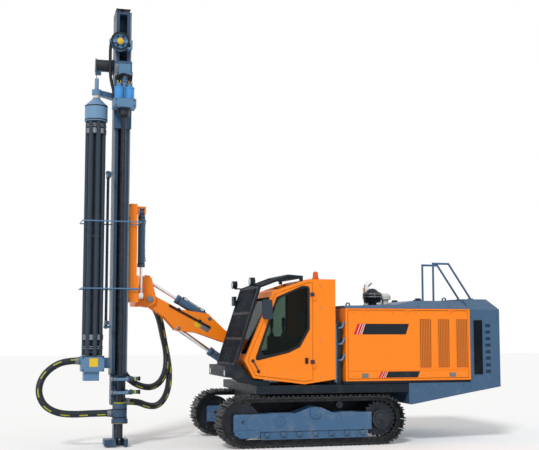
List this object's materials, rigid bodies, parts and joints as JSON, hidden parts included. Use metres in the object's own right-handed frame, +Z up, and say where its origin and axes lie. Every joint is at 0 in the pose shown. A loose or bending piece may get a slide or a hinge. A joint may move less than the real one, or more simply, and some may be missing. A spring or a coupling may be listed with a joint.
{
  "type": "crawler drilling rig",
  "caption": "Self-propelled surface drilling rig on two tracks, with a guarded cab, an engine housing and a boom that carries a tall drill mast with a rod magazine.",
  "frame": {"origin": "on the ground, half way between the tracks and half way along them", "axes": "+X to the rear, +Y to the machine's right, +Z up"},
  "size_m": [7.2933, 2.4475, 6.955],
  "materials": {
    "track_steel": "matt",
    "steel_blue": "satin",
    "dark_steel": "satin",
    "black": "satin",
    "orange": "gloss",
    "glass": "gloss",
    "seat_cloth": "matt",
    "grey_plastic": "matt",
    "amber": "gloss",
    "deep_blue": "satin",
    "bright_rod": "polished",
    "pale": "satin",
    "mast_blue": "satin",
    "pale_blue": "satin",
    "rubber": "matt"
  },
  "bodies": {
    "chassis": {"track_left": "track_steel", "track_right": "track_steel", "track_frame_left": "steel_blue", "track_frame_right": "steel_blue", "track_wheels_left": "dark_steel", "track_wheels_right": "dark_steel", "chassis_frame": "black", "front_bumper": "black", "cab_shell": "orange", "cab_glass": "glass", "cab_seat": "seat_cloth", "cab_floor": "grey_plastic", "cab_guard": "black", "work_lamps": "black", "roof_beacon": "amber", "engine_housing": "orange", "engine_hood": "deep_blue", "engine_block": "dark_steel", "rear_module": "deep_blue", "lower_tank": "deep_blue", "air_cleaner": "black", "exhaust_stack": "bright_rod", "intake_cap": "pale", "hand_rails": "steel_blue", "cooler": "dark_steel", "oil_tank": "deep_blue"},
    "cab_door": {"cab_door": "orange", "cab_door_glass": "glass"},
    "engine_door_left": {"engine_door_left": "orange"},
    "engine_door_right": {"engine_door_right": "orange"},
    "boom_base": {"boom_base": "orange"},
    "boom": {"boom_beam": "orange"},
    "slew_barrel": {"slew_barrel": "deep_blue"},
    "slew_rod": {"slew_rod": "bright_rod"},
    "lift_barrel": {"lift_barrel": "deep_blue"},
    "lift_rod": {"lift_rod": "bright_rod"},
    "tilt_barrel": {"tilt_barrel": "deep_blue"},
    "tilt_rod": {"tilt_rod": "bright_rod"},
    "boom_head": {"boom_head": "orange"},
    "sway_barrel": {"sway_barrel": "deep_blue"},
    "sway_rod": {"sway_rod": "bright_rod"},
    "cradle": {"mast_cradle": "orange"},
    "mast": {"mast_beam": "mast_blue", "feed_chain": "dark_steel", "hose_sheave": "pale_blue", "mast_winch": "deep_blue", "rod_steadies": "mast_blue", "dust_hood": "mast_blue", "mast_foot": "mast_blue", "magazine_frame": "pale_blue", "rod_hoops": "pale_blue", "suction_hose": "rubber", "bundle_hose_front": "rubber", "bundle_hose_rear": "rubber"},
    "head": {"head_carriage": "deep_blue", "head_gearbox": "pale_blue", "head_hose": "rubber"},
    "drill_string": {"drill_string": "dark_steel"},
    "magazine": {"rod_magazine": "dark_steel"},
    "rod_arms": {"rod_arms": "mast_blue"}
  },
  "joints": [
    {"name": "boom_swing", "type": "hinge", "parent": "chassis", "child": "boom_base", "pos_m": [-0.55, 0.45, 1.005], "axis": [0, 0, 1], "range_deg": [-45, 15]},
    {"name": "slew_barrel_turn", "type": "hinge", "parent": "chassis", "child": "slew_barrel", "pos_m": [0.04, 0.7, 1.09], "axis": [0, 0, 1], "range_deg": [-3.33, 7.98]},
    {"name": "slew_rod_slide", "type": "slide", "parent": "slew_barrel", "child": "slew_rod", "axis": [-1, 0, 0], "range_m": [-0.1914, 0.0705]},
    {"name": "boom_lift", "type": "hinge", "parent": "boom_base", "child": "boom", "pos_m": [-0.82, 0.45, 1.6], "axis": [0, 1, 0], "range_deg": [-10, 40]},
    {"name": "lift_barrel_turn", "type": "hinge", "parent": "boom_base", "child": "lift_barrel", "pos_m": [-0.87, 0.45, 1.13], "axis": [0, 1, 0], "range_deg": [-8.68, 31.71]},
    {"name": "lift_rod_slide", "type": "slide", "parent": "lift_barrel", "child": "lift_rod", "axis": [-0.8255, 0, 0.5644], "range_m": [-0.0727, 0.261]},
    {"name": "mast_tilt", "type": "hinge", "parent": "boom", "child": "boom_head", "pos_m": [-2.33, 0.45, 2.27], "axis": [0, -1, 0], "range_deg": [-75, 25]},
    {"name": "tilt_barrel_turn", "type": "hinge", "parent": "boom", "child": "tilt_barrel", "pos_m": [-1.33, 0.45, 1.955], "axis": [0, -1, 0], "range_deg": [-4.68, 2.23]},
    {"name": "tilt_rod_slide", "type": "slide", "parent": "tilt_barrel", "child": "tilt_rod", "axis": [-0.8509, 0, 0.5253], "range_m": [-0.3984, 0.1395]},
    {"name": "mast_swing", "type": "hinge", "parent": "boom_head", "child": "cradle", "pos_m": [-2.565, 0.45, 2.28], "axis": [1, 0, 0], "range_deg": [-30, 30]},
    {"name": "sway_barrel_turn", "type": "hinge", "parent": "cradle", "child": "sway_barrel", "pos_m": [-2.5, 0.15, 3.672], "axis": [1, 0, 0], "range_deg": [-2.01, 2.01]},
    {"name": "sway_rod_slide", "type": "slide", "parent": "sway_barrel", "child": "sway_rod", "axis": [0, 0, -1], "range_m": [-0.1622, 0.1622]},
    {"name": "mast_slide", "type": "slide", "parent": "cradle", "child": "mast", "axis": [0, 0, -1], "range_m": [-0.85, 0], "deforming": ["bundle_hose_front", "bundle_hose_rear"]},
    {"name": "head_feed", "type": "slide", "parent": "mast", "child": "head", "axis": [0, 0, 1], "range_m": [-3.5, 0.05], "deforming": ["head_hose"]},
    {"name": "spindle_turn", "type": "hinge", "parent": "head", "child": "drill_string", "pos_m": [-2.87, -0.35, 5.097], "axis": [0, 0, 1], "continuous": true},
    {"name": "magazine_turn", "type": "hinge", "parent": "mast", "child": "magazine", "pos_m": [-3.29, -0.25, 1.373], "axis": [0, 0, 1], "continuous": true},
    {"name": "rod_arm_swing", "type": "hinge", "parent": "mast", "child": "rod_arms", "pos_m": [-3.075, -0.12, 1.85], "axis": [0, 0, 1], "range_deg": [0, 30]},
    {"name": "cab_door_swing", "type": "hinge", "parent": "chassis", "child": "cab_door", "pos_m": [-0.015, -1.166, 1.5], "axis": [0, 0, 1], "range_deg": [0, 75]},
    {"name": "engine_door_left_lift", "type": "hinge", "parent": "chassis", "child": "engine_door_left", "pos_m": [1.575, -1.162, 2.085], "axis": [-1, 0, 0], "range_deg": [0, 70]},
    {"name": "engine_door_right_lift", "type": "hinge", "parent": "chassis", "child": "engine_door_right", "pos_m": [1.575, 1.162, 2.085], "axis": [1, 0, 0], "range_deg": [0, 70]}
  ],
  "couplings": [
    {"joint": "slew_barrel_turn", "follows": "boom_swing", "ratio": -0.15501},
    {"joint": "slew_rod_slide", "follows": "boom_swing", "m_per_rad": 0.23091},
    {"joint": "lift_barrel_turn", "follows": "boom_lift", "ratio": 0.76764},
    {"joint": "lift_rod_slide", "follows": "boom_lift", "m_per_rad": 0.35952},
    {"joint": "tilt_barrel_turn", "follows": "mast_tilt", "ratio": 0.04906},
    {"joint": "tilt_rod_slide", "follows": "mast_tilt", "m_per_rad": 0.29669},
    {"joint": "sway_barrel_turn", "follows": "mast_swing", "ratio": 0.03368},
    {"joint": "sway_rod_slide", "follows": "mast_swing", "m_per_rad": -0.29063}
  ]
}
